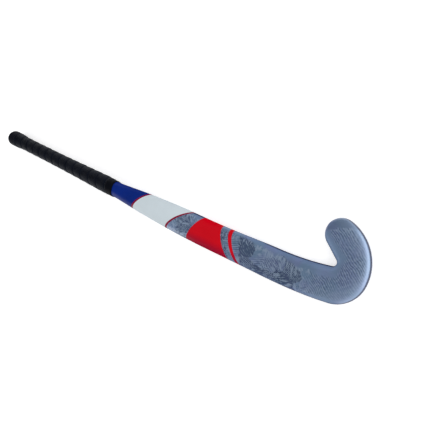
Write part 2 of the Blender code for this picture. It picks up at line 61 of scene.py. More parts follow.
# Shaft: width and thickness where it changes, from the butt to the hook
HANDLE_D = 0.0242
WAIST_X = 0.202
WAIST_W = 0.0233
WAIST_T = 0.0226
SEAT_X = 0.394
SEAT_W = 0.0268
SEAT_T = 0.0252
GRIP_END = 0.434
NECK_W = 0.0296
NECK_T = 0.0278
UPPER_X = 0.517
UPPER_W = 0.0398
UPPER_T = 0.0246
MIDDLE_X = 0.614
MIDDLE_W = 0.0464
MIDDLE_T = 0.0214
LOWER_X = 0.707
LOWER_W = 0.0470
LOWER_T = 0.0202
HEAD_W = 0.0500
HEAD_T = 0.0192
BOW_TO_END = 0.290
FLAT_RUN = 0.090

# Section, round at the handle and D-shaped at the shaft: height of the widest line,
# share of the half width that is rounded below, and power of the dome's curve
ROUND_FORM = (0.50, 1.00, 2.0)
D_FORM = (0.40, 0.34, 2.6)
UPPER_FORM = 0.6
SHARPEST_CORNER = 0.25

# Hook outline, as tangent arcs
LEAD_IN_R = 0.408
LEAD_IN = math.radians(12.0)
CROTCH_R = 0.0057
MOUTH = math.radians(128.5)
TOE_LINE = 0.0286
TOE_R = 0.0234
LEAD_OUT_R = 0.600
LEAD_OUT = math.radians(9.3)
HEEL_R = 0.0487
BACK_R = 0.0722
TIP_POWER = 2.6
LAST_TIP_RING = math.radians(89)

# Points round a ring: half of the flat side, one lower corner, half of the domed back
FLAT_STEPS = 3
CORNER_STEPS = 8
DOME_STEPS = 18
RING_STEPS = 2 * (FLAT_STEPS + CORNER_STEPS + DOME_STEPS)
RING_SPACING = 0.006

# Shell and films: where the shell starts inside the cap and blue under the tape, how the films'
# slanted edges arch by the square of the distance from the middle, and how much of a seat they fill
SHELL_START = 0.006
HANDLE_SPACING = 0.012
BLUE_START = 0.426
STEP_TO_BLUE = 0.004
FILM_ARCH = 15.0
FILM_BED = 0.9

# Wound band: its seat over the shell, how far it tucks under cap and tape, and its outline
# as shares of the pitch and of the thickness
NECK_SWELL = 0.0022
SWELL_END = 0.066
BAND_SEAT = 0.00175
BAND_END_SEAT = 0.00045
CAP_TUCK = 0.0008
TAPE_TUCK = 0.0020
LAP_STEPS = 60
NARROWEST_END = 0.0012
BAND_OUTLINE = ((-0.06, 0.00), (0.50, 0.00), (0.97, 0.04), (1.00, 0.22), (1.008, 0.42),
                (1.00, 0.60), (0.975, 0.78), (0.94, 0.93), (0.89, 1.03), (0.82, 1.09),
                (0.66, 1.08), (0.50, 1.02), (0.34, 0.95), (0.20, 0.86), (0.12, 0.78),
                (0.06, 0.68), (0.02, 0.56), (-0.02, 0.40), (-0.06, 0.22))

# Tape: distances from its upper or lower end, and heights over the shell
TAPE_WIDTH = 0.0185
TAPE_REACH = 0.0004
TAPE_HEAD = ((-0.0010, 0.0020), (-0.0006, 0.0028), (0.0004, 0.0030), (0.006, 0.0023),
             (0.012, 0.0020))
TAPE_FOOT = ((-0.0030, 0.0019), (-0.0027, 0.0015), (-0.0008, 0.0014), (-0.0002, 0.0010),
             (0.0, 0.0002))
TAPE_INSIDE = ((0.002, 0.0002), (-0.0004, 0.0016))
TAPE_RIPPLE = 0.00008
TAPE_DRAWN_UP = 0.0034
TAPE_TILT = 0.0012

# Cap: knob, neck and bore, with the bevel's distances back from the cap's end and in from its rim
KNOB_D = 0.0366
KNOB_X = 0.0110
KNOB_ROUND = 0.0085
KNOB_END = 0.0130
CAP_LENGTH = 0.0320
CAP_END_WALL = 0.0048
CAP_GAP = 0.0003
CAP_EDGE = 0.0007
CAP_BEVEL = ((0.0002, 0.0003), (0.0, 0.0008))
END_FACE_RADII = (0.0, 0.0040, 0.0078)
TURN_STEPS = 72

# Slate pattern, in the frame's plan. A pair of numbers is where a zone begins and where it is full,
# and the head's draws stand in for the random direction, kind and tone of a patch.
HATCH_ANGLE = math.radians(-37)
HATCH_PITCH = 0.0031
CROSS_PITCH = 0.0034
PATCH_SCALE = 41.0
HEAD_START = (0.380, 0.402)
HEAD_DRAWS = (0.0, 0.30, 0.36)
BORDER_START = (0.92, 1.14)
PLAIN_START = (1.18, 1.40)
FRINGE_START = (0.0110, 0.0155)
TIP_START = (0.0155, 0.0195)
TIP_DIRECTION = Vector((-0.275, 0.961))
TIP_REACH = 0.03
GLOW_START = (0.366, 0.384)
LAMP_DIRECTION = Vector((0.90, 0.45))

FLOOR_DROP = 0.0003


def metres(name, default, description):
    return FloatProperty(name=name, description=description, default=default, min=0.0,
                         unit="LENGTH", precision=4)


def slant(name, default, description):
    return FloatProperty(name=name, description=description, default=default, min=-2.0, max=2.0,
                         subtype="FACTOR")


def colour(name, default, description):
    return FloatVectorProperty(name=name, description=description, default=default, size=3,
                               min=0.0, max=1.0, subtype="COLOR")


class ShellSettings(bpy.types.PropertyGroup):
    length: metres("Length", 0.929, "Butt to the far side of the hook")
    bow: metres("Bow", 0.0204, "Greatest height of the flat side above the ground")
    film: metres("Film thickness", 0.0003, "Depth of the decoration films")
    base_colour: colour("Slate", (0.240, 0.340, 0.548), "Ground colour of the patterned lacquer")
    head_colour: colour("Head slate", (0.395, 0.535, 0.840), "Bluer tint of the head's ground")
    dark_colour: colour("Dark slate", (0.040, 0.062, 0.140), "Hatch and dark patches")
    # Also the colour of the painted sheen towards the head's outer edge.
    light_colour: colour("Light slate", (0.400, 0.520, 0.700), "Dots, strokes and streaks")
    # Painted shade: colour of the dark line along both edges and of the darkened dull sides.
    edge_shade_colour: colour("Rim", (0.030, 0.045, 0.115), "Dark line along both edges")


class FilmSettings(bpy.types.PropertyGroup):
    blue_end: metres("Blue end", 0.5035, "Where blue meets the upper pinstripe on the back")
    white_end: metres("White end", 0.600, "Where white meets the lower pinstripe on the back")
    pinstripe: metres("Pinstripe", 0.0044, "Width of both pinstripes")
    wedge_start: metres("Wedge start", 0.643, "Upper edge of the red wedge on the back")
    wedge_width: metres("Wedge width", 0.062, "Width of the red wedge on the back")
    line_gap: metres("Line gap", 0.014, "From the red wedge to the red line")
    line_width: metres("Line width", 0.0065, "Width of the red line")
    upper_slant: slant("Upper slant", 0.76, "Slant of the blue and white boundary")
    lower_slant: slant("Lower slant", 0.97, "Slant of the white film's lower edge")
    wedge_slant: slant("Wedge slant", 0.45, "Slant of the wedge's upper edge")
    red_slant: slant("Red slant", -0.60, "Slant of the wedge's lower edge and the line")
    blue: colour("Blue", (0.0010, 0.0220, 0.235), "Film below the grip")
    white: colour("White", (0.700, 0.787, 0.840), "Film in the middle")
    red: colour("Red", (0.700, 0.000, 0.010), "Wedge and line")
    # Painted shade: the red deepens towards the low side of the wedge and line.
    painted_shade_red: colour("Deep red", (0.340, 0.000, 0.024), "Wedge and line along the low side")
    crimson: colour("Crimson", (0.280, 0.000, 0.030), "Both pinstripes")


class GripSettings(bpy.types.PropertyGroup):
    turns: FloatProperty(name="Turns", description="Turns of the overgrip", default=13.5, min=4,
                         max=40, subtype="FACTOR")
    band: metres("Band thickness", 0.0021, "Thickness of the wound band")
    crease: metres("Creases", 0.00015, "Depth of the creases in the band")
    wrap_colour: colour("Wrap", (0.0050, 0.0058, 0.0105), "Overgrip")
    tape_colour: colour("Tape", (0.0040, 0.0046, 0.0074), "Finishing tape")
    cap_colour: colour("Cap", (0.0058, 0.0068, 0.0120), "Rubber cap on the butt")


class StageSettings(bpy.types.PropertyGroup):
    floor_size: metres("Floor", 9.0, "Side of the floor")
    camera_place: FloatVectorProperty(name="Camera place", description="Place of the camera",
                                      default=(0.61180, 0.08916, 0.61642), subtype="TRANSLATION")
    camera_turn: FloatVectorProperty(
        name="Camera turn", description="Turn of the camera", subtype="EULER",
        default=(math.radians(6.3454), math.radians(35.1908), math.radians(23.5527)))
    lens: FloatProperty(name="Lens", description="Focal length", default=37.205, min=1.0,
                        subtype="DISTANCE_CAMERA")
    sky: FloatProperty(name="Sky", description="Strength of the even light", default=0.72, min=0.0,
                       subtype="FACTOR")


def smooth(x, stations):
    """Value at x of a curve through (x, value) stations that never overshoots them."""
    if x <= stations[0][0]:
        return stations[0][1]
    if x >= stations[-1][0]:
        return stations[-1][1]
    rise = [(b[1] - a[1]) / (b[0] - a[0]) for a, b in zip(stations, stations[1:])]
    slopes = [0.0] + [0.0 if p * q <= 0 else 2 * p * q / (p + q) for p, q in zip(rise, rise[1:])]
    slopes.append(0.0)
    i = max(k for k in range(len(rise)) if stations[k][0] <= x)
    run = stations[i + 1][0] - stations[i][0]
    t = (x - stations[i][0]) / run
    return (stations[i][1] * (1 + 2 * t) * (1 - t) ** 2 + stations[i + 1][1] * t * t * (3 - 2 * t)
            + run * slopes[i] * t * (1 - t) ** 2 - run * slopes[i + 1] * t * t * (1 - t))


def spread(start, end, longest):
    """Evenly spaced values from start to end, no further apart than the longest step."""
    count = max(1, math.ceil(abs(end - start) / longest))
    return [start + (end - start) * k / count for k in range(count + 1)]


class Shaft:
    """Outer surface of the stick between the butt and the hook."""

    def __init__(self, settings):
        self.length = settings.length
        self.bow_height = settings.bow
        self.hook_x = self.length - HEEL_R - (LEAD_OUT_R - HEEL_R) * math.sin(LEAD_OUT)
        stations = ((0.0, HANDLE_D, HANDLE_D), (WAIST_X, WAIST_W, WAIST_T), (SEAT_X, SEAT_W, SEAT_T),
                    (GRIP_END, NECK_W, NECK_T), (UPPER_X, UPPER_W, UPPER_T),
                    (MIDDLE_X, MIDDLE_W, MIDDLE_T), (LOWER_X, LOWER_W, LOWER_T),
                    (self.hook_x, HEAD_W, HEAD_T))
        self.widths = [(x, width) for x, width, _ in stations]
        self.heights = [(x, height) for x, _, height in stations]
        self.forms = ((SEAT_X, 0.0), (UPPER_X, UPPER_FORM), (MIDDLE_X, 1.0))
        self.lift = KNOB_D / 2 - HANDLE_D / 2 - self.bow(KNOB_X)
        self.slope = (self.axis(CAP_LENGTH) - self.axis(0.0)) / CAP_LENGTH

    def bow(self, x):
        peak = self.length - BOW_TO_END
        if x < peak:
            return self.bow_height * math.sin(math.pi / 2 * max(x, 0.0) / peak)
        fall = min((x - peak) / (BOW_TO_END - FLAT_RUN), 1.0)
        return self.bow_height * math.cos(math.pi / 2 * fall) ** 2

    def base(self, x):
        return self.bow(x) + smooth(x, ((0.0, self.lift), (GRIP_END, 0.0)))

    def half(self, x):
        return smooth(x, self.widths) / 2

    def axis(self, x):
        return self.base(x) + smooth(x, self.heights) / 2

    def lean(self, x, z):
        """Shift that turns an upright ring square to the handle's rising axis."""
        return -smooth(x, ((CAP_LENGTH, self.slope), (SEAT_X, 0.0))) * (z - self.axis(x))

    def section(self, x, inset=0.0, share=1.0):
        """Heights of the low side, the widest line and the back, with the section's form."""
        form, tall, base = smooth(x, self.forms), smooth(x, self.heights), self.base(x)
        widest, edge_share, power = (a + (b - a) * form for a, b in zip(ROUND_FORM, D_FORM))
        side = base + tall * widest
        low = side - (side - base - inset) * share
        high = side + (base + tall - inset - side) * share
        return low, side, high, edge_share, power

    def ring(self, x, inset=0.0, slanted=0.0):
        """Ring that crosses x, sheared along the shaft by its slant and arched like a decal."""
        points = []
        half = self.half(x)
        for step in range(RING_STEPS):
            at = x
            for _ in range(6):
                y, z = ring_point(step, self.half(at) - inset, self.half(at),
                                  self.section(at, inset))
                arch = FILM_ARCH * abs(slanted) * (y * y - half * half / 3)
                at = x + slanted * y + arch + self.lean(x, z)
            points.append(Vector((at, y, z)))
        return points

    def slanted_rings(self, start, start_slant, end, end_slant, inset):
        """Rings from one slanted edge to the next, the slant changing evenly between them."""
        for x in spread(start, end, RING_SPACING):
            t = (x - start) / (end - start)
            yield self.ring(x, inset, start_slant + (end_slant - start_slant) * t)


def ring_point(step, half, nominal, section):
    """Distance from the middle line and height of one point of a D-shaped ring."""
    low, side, high, edge_share, power = section
    corner = min(max(nominal * edge_share - (nominal - half), SHARPEST_CORNER * half), half)
    near = min(step, RING_STEPS - step)
    if near <= FLAT_STEPS:
        y, z = (half - corner) * near / FLAT_STEPS, low
    elif near <= FLAT_STEPS + CORNER_STEPS:
        turn = math.pi / 2 * (near - FLAT_STEPS) / CORNER_STEPS
        y, z = half - corner + corner * math.sin(turn), side - (side - low) * math.cos(turn)
    else:
        turn = math.pi / 2 * (near - FLAT_STEPS - CORNER_STEPS) / DOME_STEPS
        y = half * max(math.cos(turn), 0.0) ** (2 / power)
        z = side + (high - side) * math.sin(turn) ** (2 / power)
    return (y if step <= RING_STEPS // 2 else -y), z


def around(shaft, x, turn, out):
    """Point at a turn round the handle, a distance out from the shell."""
    low, side, high, edge_share, power = shaft.section(x, -out)
    half = shaft.half(x) + out
    c, s = math.cos(turn), math.sin(turn)
    if s >= 0:
        y = half * math.copysign(abs(c) ** (2 / power), c)
        z = side + (high - side) * s ** (2 / power)
    else:
        corner = min(shaft.half(x) * edge_share + out, half)
        y = math.copysign(half - corner + corner * abs(c), c)
        z = side + (side - low) * s
    return Vector((x + shaft.lean(x, z), y, z))


def turned(centre, radius, angle):
    return centre + radius * Vector((math.cos(angle), math.sin(angle)))


def bearing(centre, point):
    return math.atan2(point.y - centre.y, point.x - centre.x)


def leaves(start, direction, centre, radius):
    """Where a ray from inside a circle leaves it."""
    to = start - centre
    b = to.dot(direction)
    return start + direction * (math.sqrt(b * b - to.dot(to) + radius * radius) - b)


class Hook:
    """Plan of the hook: arcs that touch one another, and spokes across them."""

    def __init__(self, shaft):
        half = HEAD_W / 2
        self.shaft = shaft
        self.inner = Vector((shaft.hook_x, half + LEAD_IN_R))
        self.outer = Vector((shaft.hook_x, LEAD_OUT_R - half))
        self.crotch = turned(self.inner, LEAD_IN_R - CROTCH_R, LEAD_IN - math.pi / 2)
        self.along = turned(Vector((0, 0)), 1.0, LEAD_IN + MOUTH)
        self.across = Vector((self.along.y, -self.along.x))
        self.toe = self.crotch + self.across * (CROTCH_R + TOE_R) + self.along * TOE_LINE
        self.heel = turned(self.outer, LEAD_OUT_R - HEEL_R, LEAD_OUT - math.pi / 2)
        to_toe = self.toe - self.heel
        a, b, gap = BACK_R - HEEL_R, BACK_R - TOE_R, to_toe.length
        run = (a * a - b * b + gap * gap) / (2 * gap)
        unit = to_toe / gap
        self.back = (self.heel + unit * run
                     + Vector((-unit.y, unit.x)) * math.sqrt(a * a - run * run))

    def edge(self, start, direction):
        """Point on the outer edge that a ray from inside the head reaches."""
        hit = leaves(start, direction, self.back, BACK_R)
        angle = bearing(self.back, hit)
        if angle > bearing(self.back, self.toe):
            return leaves(start, direction, self.toe, TOE_R)
        if angle >= bearing(self.back, self.heel):
            return hit
        hit = leaves(start, direction, self.heel, HEEL_R)
        if bearing(self.heel, hit) >= LEAD_OUT - math.pi / 2:
            return hit
        return leaves(start, direction, self.outer, LEAD_OUT_R)

    def crotch_spoke(self, heading):
        direction = Vector((math.sin(heading), -math.cos(heading)))
        return self.crotch + direction * CROTCH_R, self.edge(self.crotch, direction)

    def spokes(self):
        """Toe-side point, heel-side point and share of the full thickness, from shaft to tip."""
        lead, mouth, line, tip = 14, 40, 9, 22
        first = self.crotch_spoke(LEAD_IN)
        reach = math.asin((first[1].x - self.shaft.hook_x) / LEAD_OUT_R)
        for k in range(1, lead):
            t = k / lead
            yield (turned(self.inner, LEAD_IN_R, LEAD_IN * t - math.pi / 2),
                   turned(self.outer, LEAD_OUT_R, reach * t - math.pi / 2), 1.0)
        for k in range(mouth + 1):
            start, end = self.crotch_spoke(LEAD_IN + MOUTH * k / mouth)
            yield start, end, 1.0
        for k in range(1, line + 1):
            at = start + self.along * TOE_LINE * k / line
            yield at, self.edge(at, self.across), 1.0
        for k in range(1, tip + 1):
            rise = math.sin(LAST_TIP_RING * k / tip)
            middle = self.toe + self.along * TOE_R * rise
            chord = TOE_R * math.sqrt(1 - rise * rise)
            yield middle - self.across * chord, self.edge(middle, self.across), tip_curve(rise)

    def rings(self):
        x0 = self.shaft.hook_x
        for toe_edge, heel_edge, share in self.spokes():
            middle, half = (toe_edge + heel_edge) / 2, (toe_edge - heel_edge) / 2
            reach = half.length
            section = self.shaft.section(x0, 0.0, share)
            points = []
            for step in range(RING_STEPS):
                y, z = ring_point(step, reach, reach, section)
                plan = middle + half / reach * y
                points.append(Vector((*plan, z + self.shaft.base(plan.x) - self.shaft.base(x0))))
            yield points


def tip_curve(share):
    """How far the rounded tip of the toe falls away, and the way back."""
    return (1 - share ** TIP_POWER) ** (1 / TIP_POWER)


def film_seats(films):
    """Start, slant, end and slant of each stretch of the shaft that carries films."""
    wedge_end = films.wedge_start + films.wedge_width
    line = wedge_end + films.line_gap
    return [(BLUE_START, 0.0, films.white_end + films.pinstripe, films.lower_slant),
            (films.wedge_start, films.wedge_slant, wedge_end, films.red_slant),
            (line, films.red_slant, line + films.line_width, films.red_slant)]


def seat_height(x):
    """Distance from the shell to the inside of the wound band, which swells towards the knob."""
    swell = smooth(x, ((CAP_LENGTH, NECK_SWELL), (SWELL_END, 0.0)))
    return swell + smooth(x, ((SEAT_X, BAND_SEAT), (GRIP_END - TAPE_WIDTH, BAND_END_SEAT)))


def sweep(rings, ends="capped"):
    """Extrude a closed loop of edges from ring to ring, then cap it or join its two ends.

    The points carry how far across the stick they lie, from 1 on the toe side to -1, and how near
    the brink, which also counts the falling tip of the toe.
    """
    rings = list(rings)
    bm = bmesh.new()
    step_layer = bm.verts.layers.int.new("step")
    across_layer = bm.verts.layers.float.new("across")
    brink_layer = bm.verts.layers.float.new("brink")
    count = len(rings[0])
    front = bmesh.ops.create_circle(bm, segments=count, radius=1.0)["verts"]
    for step, vert in enumerate(front):
        vert[step_layer] = step
    edges = first = list(bm.edges)
    if ends == "capped":
        bmesh.ops.contextual_create(bm, geom=edges)
    for number, ring in enumerate(rings):
        if number:
            made = bmesh.ops.extrude_edge_only(bm, edges=edges)["geom"]
            front = [item for item in made if isinstance(item, bmesh.types.BMVert)]
            edges = [item for item in made if isinstance(item, bmesh.types.BMEdge)]
        middle = (ring[0] + ring[count // 2]) / 2
        widest = max((point.xy - middle.xy).length for point in ring)
        heights = [point.z for point in ring]
        thin = min((max(heights) - min(heights)) / HEAD_T, 1.0)
        for vert in front:
            step = vert[step_layer]
            vert.co = ring[step]
            share = (ring[step].xy - middle.xy).length / widest
            vert[across_layer] = share if step <= count // 2 else -share
            vert[brink_layer] = max(share, tip_curve(thin))
    if ends == "capped":
        bmesh.ops.contextual_create(bm, geom=edges)
    else:
        bmesh.ops.bridge_loops(bm, edges=first + edges)
    bmesh.ops.recalc_face_normals(bm, faces=bm.faces)
    return bm


def frame_shift():
    """From the stick's own coordinates to the frame, by the solids' outer box."""
    low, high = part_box("outer_laminate")
    return Vector((high.x - bpy.context.scene.stick_shell.length, low.y + HEAD_W / 2, 0.0))


def link_mesh(name, bm, mat):
    """Put a bmesh into the scene as an object of one material."""
    mesh = bpy.data.meshes.new(name)
    bm.to_mesh(mesh)
    bm.free()
    mesh.materials.append(mat)
    obj = bpy.data.objects.new(name, mesh)
    bpy.context.scene.collection.objects.link(obj)
    return obj


def piece(name, bm, mat, stands_for, slot, sharp=40):
    """Turn a bmesh in the stick's own coordinates into a finished piece on the frame."""
    bmesh.ops.translate(bm, verts=bm.verts, vec=frame_shift())
    obj = link_mesh(name, bm, mat)
    obj.data.shade_smooth()
    obj.data.set_sharp_from_angle(angle=math.radians(sharp))
    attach(obj, "root")
    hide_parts(*stands_for)


def deeper(rgb, share):
    return tuple(c * share for c in rgb)


class Nodes:
    """Short hand for a node tree. Values may be numbers, tuples or other nodes' sockets."""

    def __init__(self, tree):
        self.tree = tree

    def add(self, kind, settings=None, **inputs):
        node = self.tree.nodes.new("ShaderNode" + kind)
        for key, value in (settings or {}).items():
            setattr(node, key, value)
        self.feed(node, **inputs)
        return node

    def feed(self, node, **inputs):
        """Set or link inputs, by name with _ for each blank, or by number after a _."""
        for key, value in inputs.items():
            socket = node.inputs[int(key[1:]) if key[1:].isdigit() else key.replace("_", " ")]
            if isinstance(value, bpy.types.NodeSocket):
                self.tree.links.new(value, socket)
            else:
                socket.default_value = value

    def math(self, operation, a, b=0.0):
        return self.add("Math", {"operation": operation}, _0=a, _1=b).outputs[0]

    def plus(self, first, *others):
        for other in others:
            first = self.math("ADD", first, other)
        return first

    def times(self, first, *others):
        for other in others:
            first = self.math("MULTIPLY", first, other)
        return first

    def minus(self, a, b):
        return self.math("SUBTRACT", a, b)

    def rest(self, share):
        """What a share leaves of 1."""
        return self.minus(1.0, share)

    def between(self, value, low, high):
        """0 below low, 1 above high, smooth in between."""
        return self.add("MapRange", {"interpolation_type": "SMOOTHSTEP"}, Value=value,
                        From_Min=low, From_Max=high).outputs[0]

    def ramp(self, value, low, high, at_low, at_high):
        """Straight line between two levels, flat beyond them."""
        return self.add("MapRange", Value=value, From_Min=low, From_Max=high, To_Min=at_low,
                        To_Max=at_high).outputs[0]

    def blend(self, factor, a, b):
        return self.add("Mix", _0=factor, _2=a, _3=b).outputs[0]

    def mix(self, factor, a, b):
        """Colour between two, each a socket or three numbers."""
        a, b = (c if isinstance(c, bpy.types.NodeSocket) else (*c, 1.0) for c in (a, b))
        return self.add("Mix", {"data_type": "RGBA"}, _0=factor, _6=a, _7=b).outputs[2]


class Finish(Nodes):
    """A new material, its node tree and its shader."""

    def __init__(self, name):
        self.material = bpy.data.materials.new(name)
        self.material.use_nodes = True
        super().__init__(self.material.node_tree)
        self.shader = self.tree.nodes["Principled BSDF"]

    def set(self, **values):
        self.feed(self.shader, **values)

    def place(self, turn=0.0, scale=(1.0, 1.0, 1.0)):
        """Object coordinates, scaled and then turned about Z."""
        coords = self.add("TexCoord").outputs["Object"]
        return self.add("Mapping", Vector=coords, Rotation=(0.0, 0.0, turn), Scale=scale).outputs[0]

    def attribute(self, name):
        return self.add("Attribute", {"attribute_name": name}).outputs["Fac"]

    def noise(self, scale, vector=None, detail=3.0, roughness=0.5, output=0):
        """Noise about 0.5, or with output 1 three of them as a colour."""
        return self.add("TexNoise", Scale=scale, Detail=detail, Roughness=roughness,
                        Vector=vector or self.place()).outputs[output]

    def cells(self, scale, feature="F1"):
        return self.add("TexVoronoi", {"feature": feature}, Scale=scale,
                        Vector=self.place()).outputs["Distance"]

    def dot(self, vector, direction):
        """Distance along a direction in plan."""
        return self.add("VectorMath", {"operation": "DOT_PRODUCT"}, _0=vector,
                        _1=(*direction, 0.0)).outputs["Value"]

    def bump(self, height, distance, strength, target="Normal"):
        node = self.add("Bump", Height=height, Distance=distance, Strength=strength)
        self.set(**{target: node.outputs[0]})
        return node.outputs[0]

    def lacquer_coat(self, weight, index, rough, keep=0.0):
        """Clear gloss lacquer with a faint orange peel, dull along both sides except where kept."""
        dulled = self.times(self.between(self.attribute("brink"), 0.64, 0.92), self.rest(keep))
        gloss = self.rest(self.times(dulled, 0.94))
        self.set(Coat_Weight=self.times(gloss, weight), Coat_Roughness=rough, Coat_IOR=index,
                 Specular_IOR_Level=self.times(gloss, 0.10))
        self.bump(self.noise(260.0, detail=2.0), 0.00006, 0.35, "Coat_Normal")
        return gloss


class SlateFinish(Finish):
    """Patterned slate lacquer: patches of hatch, dots and broken strokes in three directions.

    The head keeps one direction, the toe side of the stick and the tip of the toe stay plain,
    and a painted shade line runs along both edges.
    """

    def __init__(self, shell, toe):
        super().__init__("slate_lacquer_finish")
        self.shell = shell
        self.coords = self.place()
        self.x, self.y, _ = self.add("SeparateXYZ", Vector=self.coords).outputs
        self.across = self.attribute("across")
        self.heelward = self.times(self.across, -1.0)
        self.head = self.between(self.x, *HEAD_START)
        self.off_head = self.rest(self.head)
        # Painted sheen: the head's ground grows paler towards its outer edge, on the side of the long
        # lamp.
        self.painted_sheen = self.times(self.between(self.heelward, 0.0, 0.75), self.head)
        self.draw_patches()
        self.draw_lines()
        self.find_zones(toe)
        self.lacquer(self.figure(self.ground()))

    def draw_patches(self):
        """Ragged patches, each with its own random direction, kind and tone, but not on the head."""
        wander = self.coords
        for scale, reach in ((30.0, 0.034), (130.0, 0.012)):
            drift = self.noise(scale, self.coords, detail=2.0, output=1)
            wander = self.add("VectorMath", {"operation": "MULTIPLY_ADD"}, _0=drift,
                              _1=(reach, reach, 0.0), _2=wander).outputs[0]
        patches = self.add("TexVoronoi", {"voronoi_dimensions": "2D"}, Scale=PATCH_SCALE,
                           Vector=wander)
        drawn = self.add("SeparateColor", _0=patches.outputs["Color"]).outputs
        self.way, self.kind, self.tone = (
            self.plus(self.times(random, self.off_head), self.times(self.head, on_head))
            for random, on_head in zip(drawn, HEAD_DRAWS))

    def draw_lines(self):
        """Waves across each patch's direction, and dots where waves along it cross them."""
        once = self.times(self.math("GREATER_THAN", self.way, 0.50), math.radians(60))
        twice = self.times(self.math("GREATER_THAN", self.way, 0.78), math.radians(-90))
        angle = self.plus(once, twice, HATCH_ANGLE)
        cosine, sine = self.math("COSINE", angle), self.math("SINE", angle)
        self.run = self.plus(self.times(self.x, cosine), self.times(self.y, sine))
        level = self.minus(self.times(self.y, cosine), self.times(self.x, sine))
        sway = self.noise(55.0, self.coords, detail=1.0)
        self.rise = self.plus(level, self.times(sway, 0.0065))
        self.lines = self.math("SINE", self.times(self.rise, math.tau / HATCH_PITCH))
        cross = self.math("SINE", self.times(self.run, math.tau / CROSS_PITCH))
        self.dots = self.times(self.lines, cross)

    def find_zones(self, toe):
        """Where the pattern shows: off the toe side, the head's outer edge and the toe's tip."""
        ragged = self.times(self.noise(42.0, self.coords, detail=4.0), 1.1)
        widening = self.times(self.between(self.x, 0.290, 0.400), 0.26)
        self.reach = self.plus(self.across, ragged, widening)
        inward = self.between(self.reach, *PLAIN_START)
        past = self.minus(self.dot(self.coords, TIP_DIRECTION), toe.dot(TIP_DIRECTION))
        past = self.plus(past, self.times(ragged, 0.018))
        on_toe = self.math("GREATER_THAN", self.y, toe.y - TIP_REACH)
        self.tip = self.times(self.between(past, *TIP_START), on_toe)
        self.fringe = self.times(self.between(past, *FRINGE_START), self.minus(on_toe, self.tip))
        outer = self.times(self.between(self.heelward, 0.66, 0.86), self.head)
        figured = self.times(self.rest(inward), self.minus(self.rest(outer), self.tip))
        self.figured = self.math("MAXIMUM", figured, 0.0)

    def ground(self):
        """Slate clouded in tone and hue, bluer on the head, with a painted sheen growing paler
        towards the head's outer edge.
        """
        base = self.shell.base_colour
        cloud = self.noise(20.0, self.coords, detail=4.0, roughness=0.6)
        hue = self.noise(34.0, self.coords, output=1)
        green, violet = (tuple(a * b for a, b in zip(base, tint))
                         for tint in ((0.88, 1.06, 0.96), (1.10, 0.92, 1.06)))
        shade = self.mix(self.between(cloud, 0.36, 0.66), base, deeper(base, 0.80))
        shade = self.mix(0.45, shade, self.mix(self.between(hue, 0.40, 0.60), green, violet))
        shade = self.mix(self.times(self.head, 0.26), shade, self.shell.head_colour)
        # Painted sheen towards the head's outer edge.
        return self.mix(self.times(self.painted_sheen, 0.40), shade, self.shell.light_colour)

    def figure(self, shade):
        """Lay dark patches, hatching, dots, strokes and streaks over the ground."""
        light, dark = self.shell.light_colour, self.shell.dark_colour
        fading = self.noise(26.0, self.place(scale=(1.0, 1.0, 0.2)), detail=2.0)
        faint = self.plus(self.times(self.between(fading, 0.36, 0.60), 0.65), 0.35)
        broken = self.noise(260.0, self.coords, detail=1.0)
        breaks = self.between(broken, 0.44, 0.60)
        hatched = self.times(self.between(self.lines, -0.3, 0.5), self.between(self.kind, 0.08, 0.12))
        dotted = self.times(self.between(self.dots, 0.10, 0.55), self.between(self.kind, 0.42, 0.46))
        strokes = self.times(self.between(self.times(self.lines, -1.0), 0.0, 0.7), breaks)
        along = self.add("CombineXYZ", _0=self.times(self.run, 0.55), _1=self.times(self.rise, 1.9))
        streaks = self.between(self.noise(120.0, along.outputs[0], detail=1.0), 0.57, 0.65)
        comb = self.noise(75.0, self.place(math.radians(52), (5.0, 0.8, 1.0)), detail=1.0)
        border = self.times(self.between(self.reach, *BORDER_START), self.off_head,
                            self.between(comb, 0.50, 0.60))
        for where, share, tint in (
                (self.between(self.tone, 0.34, 0.62), 0.66, dark),
                (self.times(hatched, faint, self.rest(self.times(breaks, 0.6))), 0.52, dark),
                (self.times(dotted, self.between(broken, 0.30, 0.50)), 0.85, light),
                (self.times(strokes, faint), 0.85, light),
                (border, 0.80, light),
                # Light strokes made stronger within the painted sheen.
                (self.times(strokes, self.painted_sheen), 0.60, light),
                (self.times(streaks, self.off_head), 0.66, light),
                (self.times(self.fringe, self.between(broken, 0.42, 0.58)), 0.40, light)):
            shade = self.mix(self.times(where, share, self.figured), shade, tint)
        return self.mix(self.times(self.tip, 0.30), shade, dark)

    def lacquer(self, shade):
        """Semi-metallic gloss, most on the edge that faces the long lamp, with painted shade on the
        dull sides and a painted shade line along both edges.
        """
        edge_shade_colour = self.shell.edge_shade_colour
        lampward = self.dot(self.coords, LAMP_DIRECTION)
        glowing = self.times(self.between(lampward, *GLOW_START),
                             self.math("LESS_THAN", self.across, 0.2))
        gloss = self.lacquer_coat(1.0, 1.55, 0.12, glowing)
        # Painted shade: the dull sides darken towards the edge shade colour.
        shade = self.mix(self.times(self.rest(gloss), 0.44), shade, edge_shade_colour)
        # Painted shade: a dark line along both edges, where the brink is near 1.
        rim = self.between(self.attribute("brink"), 0.935, 0.975)
        metal = self.plus(self.times(self.between(lampward, 0.0, 0.25), 0.30), 0.20)
        self.set(Base_Color=self.mix(rim, shade, edge_shade_colour), Roughness=0.45,
                 Metallic=self.times(gloss, metal))


